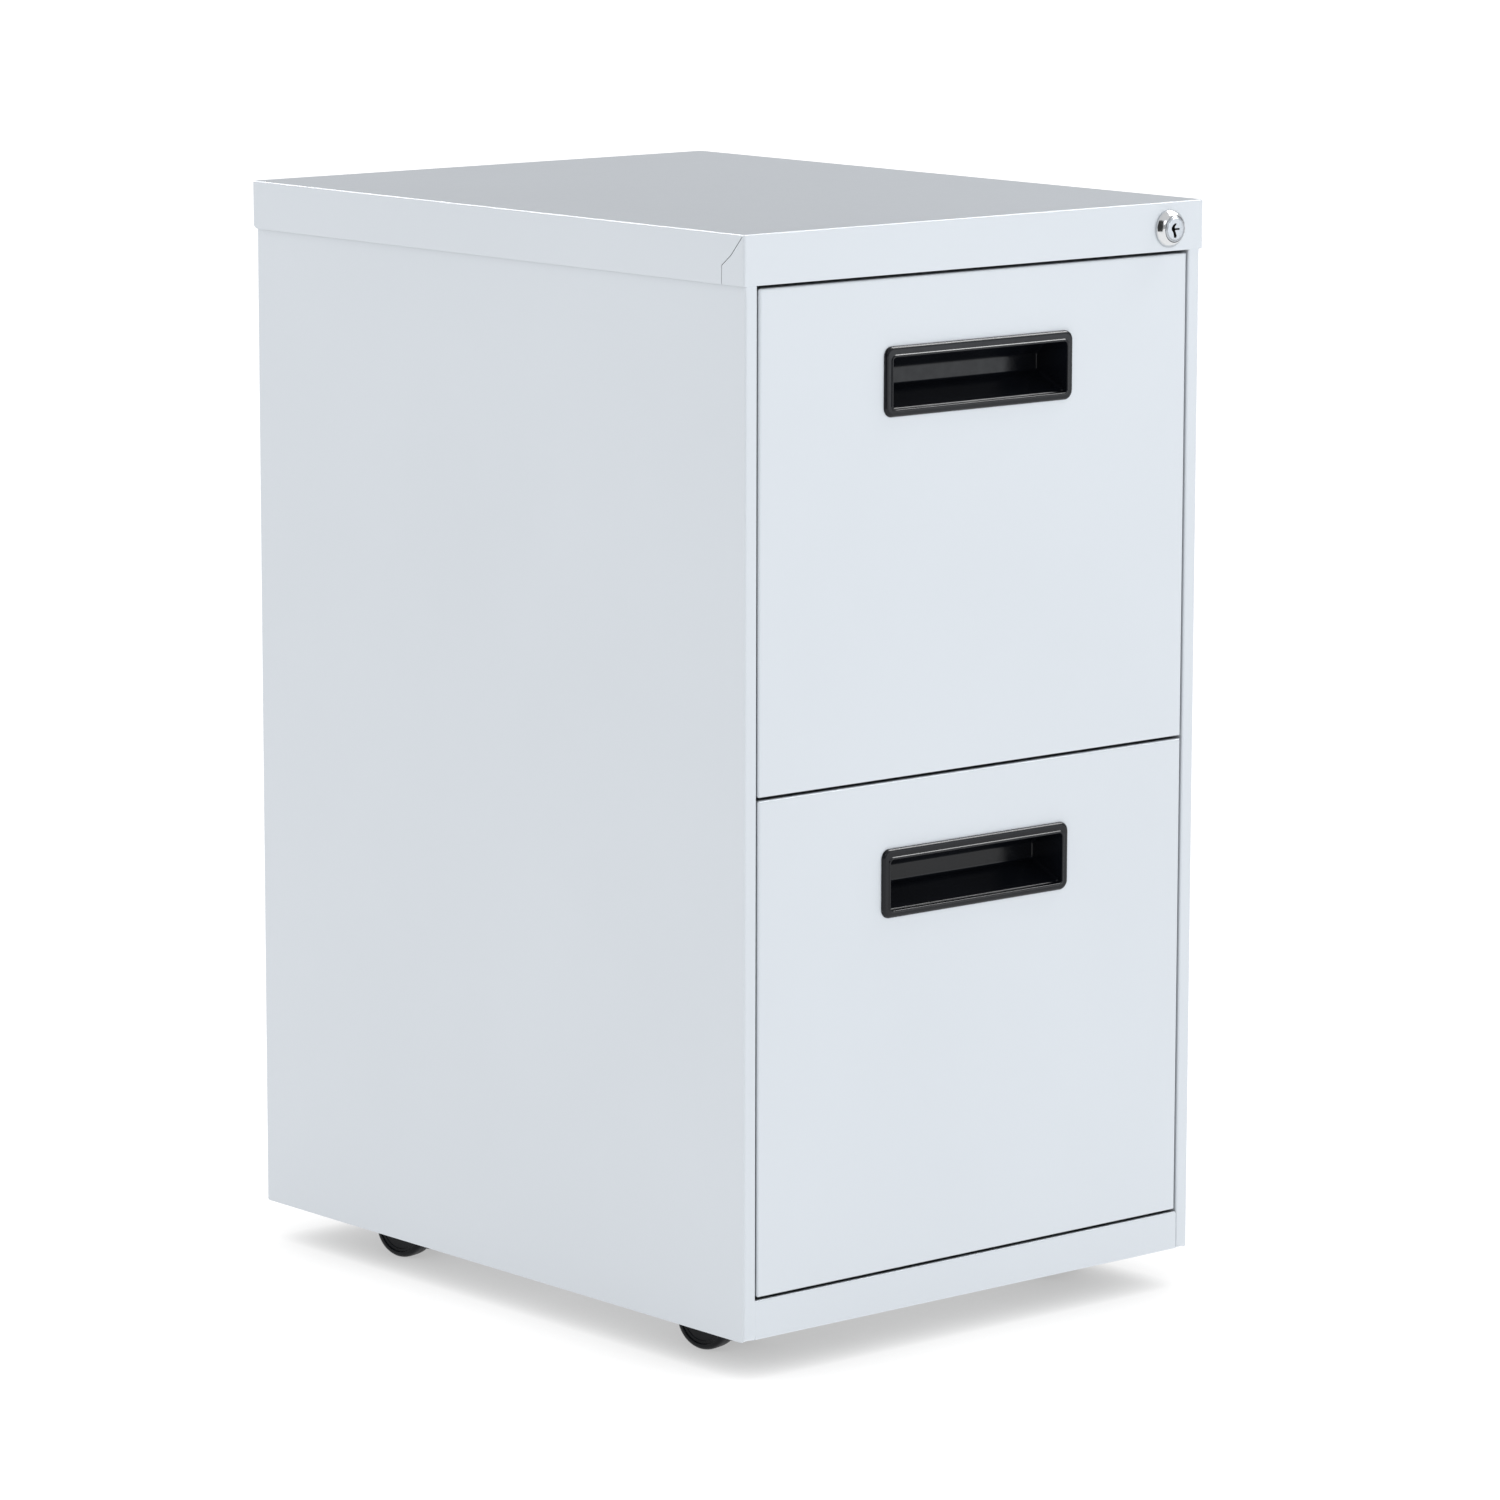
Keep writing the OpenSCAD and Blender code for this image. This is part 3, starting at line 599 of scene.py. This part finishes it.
def member(node, name, body, cuts, heads=(), keep=()):
    """The CAD member with slots and holes punched through its web. Heads are rivets or screws on the web."""
    src = frame["nodes"][node]
    lo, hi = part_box(node)
    x0, x1 = lo.x / MM - 2, hi.x / MM + 2
    dg = bpy.context.evaluated_depsgraph_get()
    for m in list(src.modifiers):
        if m.type not in ("WELD", "DECIMATE"):
            src.modifiers.remove(m)
    dg.update()
    me = bpy.data.meshes.new_from_object(src.evaluated_get(bpy.context.evaluated_depsgraph_get()))
    me.name = name
    o = bpy.data.objects.new(name, me)
    scene.collection.objects.link(o)
    cb = bmesh.new()
    for pts in cuts:
        prism(cb, pts, 0, x0, x1)
    bmesh.ops.recalc_face_normals(cb, faces=cb.faces)
    bmesh.ops.scale(cb, vec=(MM, MM, MM), verts=cb.verts)
    cme = bpy.data.meshes.new("cutter")
    cb.to_mesh(cme)
    cb.free()
    c = bpy.data.objects.new("cutter", cme)
    scene.collection.objects.link(c)
    b = o.modifiers.new("cut", "BOOLEAN")
    b.operation, b.solver, b.object = "DIFFERENCE", "EXACT", c
    res = bpy.data.meshes.new_from_object(o.evaluated_get(bpy.context.evaluated_depsgraph_get()))
    o.modifiers.remove(b)
    o.data = res
    bpy.data.objects.remove(c)
    bm = bmesh.new()
    bm.from_mesh(res)
    bmesh.ops.scale(bm, vec=(1 / MM,) * 3, verts=bm.verts)
    for y, z, r, h, x, d in heads:          # domed heads standing on the web at x, towards d
        rings = []
        for k in range(5):
            a = math.radians(90 * k / 4)
            rr, xx = r * math.cos(a), x + d * (h * math.sin(a))
            if k == 4:
                rings.append([bm.verts.new((xx, y, z))])
            else:
                rings.append([bm.verts.new((xx, y + rr * math.cos(2 * math.pi * i / 20), z + rr * math.sin(2 * math.pi * i / 20))) for i in range(20)])
        base = [bm.verts.new((x - d * 0.3, v.co.y, v.co.z)) for v in rings[0]]
        rings.insert(0, base)
        for p, q in zip(rings, rings[1:]):
            for i in range(20):
                k = (i + 1) % 20
                bm.faces.new((p[i], p[k], q[0]) if len(q) == 1 else (p[i], p[k], q[k], q[i]))
        bm.faces.new(base)
    o2 = finish_mesh(bm, name, "zinc_steel", body, [node], sharp=30)
    bpy.data.objects.remove(o)
    return o2


for u in ("upper", "lower"):
    for side, sg in (("left", -1), ("right", 1)):
        lo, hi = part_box(f"{u}_{side}_slide_outer")
        zc = (lo.z + hi.z) / 2 / MM
        sx = 179.3 * sg                      # the face that the outer member sits on
        member(f"{u}_{side}_slide_outer", f"{u}_{side}_outer_member", "cabinet",
               [stadium(-196, zc, 16, 2.6), circle(-150, zc, 2.4), stadium(-100, zc + 9, 12, 2.2), stadium(-100, zc - 9, 12, 2.2), circle(-40, zc, 4.0),
                stadium(20, zc, 18, 2.6), circle(80, zc + 9, 2.3), circle(80, zc - 9, 2.3), stadium(140, zc, 16, 2.6), circle(188, zc, 2.6)])
        member(f"{u}_{side}_slide_middle", f"{u}_{side}_middle_member", u + "_slide_middles",
               [stadium(-190, zc, 14, 2.4), circle(-150, zc, 3.2), stadium(-90, zc, 26, 4.0), circle(-40, zc, 2.2), stadium(20, zc, 26, 4.0), circle(70, zc, 2.2),
                stadium(120, zc, 26, 4.0), circle(168, zc, 3.2)],
               heads=[(-207, zc + 7, 2.2, 0.9, sx - sg * 2.6, sg), (-207, zc - 7, 2.2, 0.9, sx - sg * 2.6, sg)])
        ix = sx - sg * 11.5                  # outward face of the inner member's web
        member(f"{u}_{side}_slide_inner", f"{u}_{side}_inner_member", u + "_drawer",
               [stadium(-180, zc, 12, 2.0), circle(-120, zc, 2.4), stadium(-60, zc, 20, 2.6), circle(0, zc, 2.4), stadium(60, zc, 20, 2.6), circle(150, zc, 2.4)],
               heads=[(-200, zc, 3.6, 1.6, ix, sg), (-90, zc, 3.6, 1.6, ix, sg), (30, zc, 3.6, 1.6, ix, sg), (120, zc, 3.6, 1.6, ix, sg), (185, zc, 3.6, 1.6, ix, sg)])


# ---------------------------------------------------------------- drawer bins with beads and hems
def bin_shell(u):
    lo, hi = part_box(u + "_drawer_bin")
    bx, b, top = hi.x / MM, lo.z / MM, hi.z / MM
    y0, y1 = lo.y / MM, hi.y / MM
    t = 0.8

    def bead(c, w, d, n=6):
        """Offsets of a rounded bead centred at c, w wide and d deep."""
        return [(c - w / 2 + w * i / n, d * 0.5 * (1 - math.cos(2 * math.pi * i / n))) for i in range(n + 1)]

    # centre line of the right half, from the middle of the bottom out and up: (x, z, inward normal)
    line = []
    for c in (0.0, 55.0, 110.0):
        for x, d in bead(c, 12, 1.5):
            if x >= 0 or c > 0:
                line.append((x, b + t / 2 + d, (0, 1)))
    r = 2.0 - t / 2
    for i in range(7):
        a = math.radians(-90 + 90 * i / 6)
        line.append((bx - 2 + r * math.cos(a), b + 2 + r * math.sin(a), (-math.cos(a), -math.sin(a))))
    for c in (b + 40, b + 150, b + 215):
        for z, d in bead(c, 11, 1.4):
            line.append((bx - t / 2 - d, z, (-1, 0)))
    line.append((bx - t / 2, top - 11.0, (-1, 0)))
    outer, inner = [], []
    for k, (x, z, nrm) in enumerate(line):
        outer.append((x - nrm[0] * t / 2, z - nrm[1] * t / 2))
        inner.append((x + nrm[0] * t / 2, z + nrm[1] * t / 2))
    # hem: the sheet folded back on itself at the top
    hem = [(bx, top - 1.0), (bx - 0.15, top - 0.45), (bx - 0.45, top - 0.1), (bx - 0.85, top), (bx - 1.2, top - 0.12), (bx - 1.48, top - 0.45),
           (bx - 1.6, top - 1.0), (bx - 1.6, top - 9.6), (bx - 1.45, top - 9.95), (bx - 1.0, top - 10.0), (bx - t, top - 9.9)]
    bm = bmesh.new()

    def ring(y):
        """Both halves' outer and inner points; the middle ones are shared."""
        o = [bm.verts.new((x, y, z)) for x, z in outer]
        i = [bm.verts.new((x, y, z)) for x, z in inner]
        h = [bm.verts.new((x, y, z)) for x, z in hem]
        ol = [o[0]] + [bm.verts.new((-x, y, z)) for x, z in outer[1:]]
        il = [i[0]] + [bm.verts.new((-x, y, z)) for x, z in inner[1:]]
        hl = [bm.verts.new((-x, y, z)) for x, z in hem]
        return (o, i, h), (ol, il, hl)

    for f, k in zip(ring(y0), ring(y1)):
        for side in (f, k):                       # the cut ends
            o, i, h = side
            for q in range(len(o) - 1):
                bm.faces.new((o[q], o[q + 1], i[q + 1], i[q]))
            bm.faces.new([o[-1]] + h + [i[-1]])
        for q in range(len(f[0]) - 1):            # outside and inside of the sheet
            bm.faces.new((f[0][q], f[0][q + 1], k[0][q + 1], k[0][q]))
            bm.faces.new((f[1][q], f[1][q + 1], k[1][q + 1], k[1][q]))
        fh, kh = [f[0][-1]] + f[2] + [f[1][-1]], [k[0][-1]] + k[2] + [k[1][-1]]
        for q in range(len(fh) - 1):
            bm.faces.new((fh[q], fh[q + 1], kh[q + 1], kh[q]))
    bmesh.ops.triangulate(bm, faces=[f for f in bm.faces if len(f.verts) > 4])
    finish_mesh(bm, u + "_bin_shell", "inner_steel", u + "_drawer", [u + "_drawer_bin"], sharp=50)


bin_shell("upper")
bin_shell("lower")


# ---------------------------------------------------------------- floor and light
def floor():
    """Plain white sweep: it glows evenly, but ambient occlusion dims the glow as painted shade under and around what
    stands over it.
    """
    m = Mat("floor")
    m.color(m.ramp(m.noise(3.0, 2.0), [(0.3, (0.115, 0.115, 0.115)), (0.7, (0.125, 0.125, 0.125))]))
    m.p.inputs["Roughness"].default_value = 0.9
    m.p.inputs["Specular IOR Level"].default_value = 0.1
    m.p.inputs["Emission Color"].default_value = (1, 1, 1, 1)
    # painted shade: the glow is dimmed where ambient occlusion within 13 cm is low
    ao = m.node("ShaderNodeAmbientOcclusion")
    ao.inputs["Distance"].default_value = 0.13
    ao.samples = 24
    m.link(m.range(ao.outputs["AO"], 0.44, 1.12, 0.05, 0.92), m.p.inputs["Emission Strength"])
    me = bpy.data.meshes.new("floor")
    s = 60
    me.from_pydata([(-s, -s, 0), (s, -s, 0), (s, s, 0), (-s, s, 0)], [], [(0, 1, 2, 3)])
    me.materials.append(m.m)
    o = bpy.data.objects.new("floor", me)
    scene.collection.objects.link(o)


floor()


def area(name, loc, target, size, power, color=(1, 1, 1), glints=False):
    d = bpy.data.lights.new(name, "AREA")
    d.shape = "RECTANGLE"
    d.size, d.size_y = size
    d.energy = power
    d.color = color
    o = bpy.data.objects.new(name, d)
    scene.collection.objects.link(o)
    o.location = loc
    o.rotation_mode = "QUATERNION"
    o.rotation_quaternion = (Vector(target) - Vector(loc)).to_track_quat("-Z", "Y")
    o.visible_camera = False
    if glints:                           # a strip light kept for reflections on bends only
        o.visible_diffuse = o.visible_transmission = o.visible_volume_scatter = False
    return o


def world():
    w = bpy.data.worlds.new("studio")
    scene.world = w
    w.use_nodes = True
    nt = w.node_tree
    bg = nt.nodes["Background"]
    tc = nt.nodes.new("ShaderNodeTexCoord")
    sep = nt.nodes.new("ShaderNodeSeparateXYZ")
    nt.links.new(tc.outputs["Generated"], sep.inputs[0])
    mr = nt.nodes.new("ShaderNodeMapRange")
    mr.inputs["From Min"].default_value = -0.1
    mr.inputs["From Max"].default_value = 1.0
    mr.inputs["To Min"].default_value = 0.0
    mr.inputs["To Max"].default_value = 1.0
    nt.links.new(sep.outputs["Z"], mr.inputs["Value"])
    cr = nt.nodes.new("ShaderNodeValToRGB")
    e = cr.color_ramp.elements
    e[0].position, e[0].color = 0.0, (0.95, 0.96, 1.0, 1)
    e[1].position, e[1].color = 1.0, (0.21, 0.215, 0.23, 1)
    k = cr.color_ramp.elements.new(0.35)
    k.color = (0.72, 0.73, 0.75, 1)
    nt.links.new(mr.outputs["Result"], cr.inputs["Fac"])
    gr = nt.nodes.new("ShaderNodeValToRGB")
    g = gr.color_ramp.elements
    g[0].position, g[0].color = 0.0, (0.97, 0.98, 1.0, 1)
    g[1].position, g[1].color = 1.0, (0.97, 0.97, 0.98, 1)
    for pos, v in ((0.12, 0.50), (0.30, 0.52), (0.45, 0.92), (0.65, 0.98)):
        k = gr.color_ramp.elements.new(pos)
        k.color = (v, v * 1.01, v * 1.03, 1)
    nt.links.new(mr.outputs["Result"], gr.inputs["Fac"])
    lp = nt.nodes.new("ShaderNodeLightPath")
    mx = nt.nodes.new("ShaderNodeMix")
    mx.data_type = "RGBA"
    nt.links.new(lp.outputs["Is Glossy Ray"], mx.inputs[0])
    nt.links.new(cr.outputs["Color"], mx.inputs[6])
    nt.links.new(gr.outputs["Color"], mx.inputs[7])
    nt.links.new(mx.outputs[2], bg.inputs["Color"])
    bg.inputs["Strength"].default_value = 0.85


world()
area("front_box", (2.2, -3.7, 0.8), (0.1, -0.2, 0.33), (2.4, 1.9), 17.5, (0.865, 0.93, 1.0))
area("key_box", (-2.3, -4.7, 3.9), (0, 0, 0.3), (1.8, 1.8), 29.5, (0.96, 0.98, 1.0))
area("overhead_right", (1.85, -0.6, 2.9), (0, -0.2, 0.6), (0.7, 0.9), 21)
area("behind_top", (-0.65, 2.2, 2.6), (-0.1, 0, 0.7), (1.3, 0.6), 12)
area("edge_glint_front", (1.95, -0.77, 3.0), (0, -0.24, 0.7), (1.9, 1.9), 95, glints=True)
area("edge_glint_side", (-0.70, 2.35, 2.7), (-0.19, 0, 0.7), (1.9, 1.9), 95, glints=True)


def card(name, loc, target, w, h):
    """A black card that only reflections see, as the dark of a camera between two soft boxes."""
    m = Mat(name)
    m.color(m.ramp(m.noise(4.0), [(0.3, (0.012, 0.012, 0.012)), (0.7, (0.02, 0.02, 0.02))]))
    m.p.inputs["Roughness"].default_value = 0.9
    me = bpy.data.meshes.new(name)
    me.from_pydata([(-w / 2, -h / 2, 0), (w / 2, -h / 2, 0), (w / 2, h / 2, 0), (-w / 2, h / 2, 0)], [], [(0, 1, 2, 3)])
    me.materials.append(m.m)
    o = bpy.data.objects.new(name, me)
    scene.collection.objects.link(o)
    o.location = loc
    o.rotation_mode = "QUATERNION"
    o.rotation_quaternion = (Vector(target) - Vector(loc)).to_track_quat("-Z", "Y")
    o.visible_camera = o.visible_diffuse = o.visible_shadow = o.visible_transmission = False
    return o


card("dark_card", (-0.545, -0.60, 0.90), (0.161, -0.249, 0.689), 0.55, 0.95)
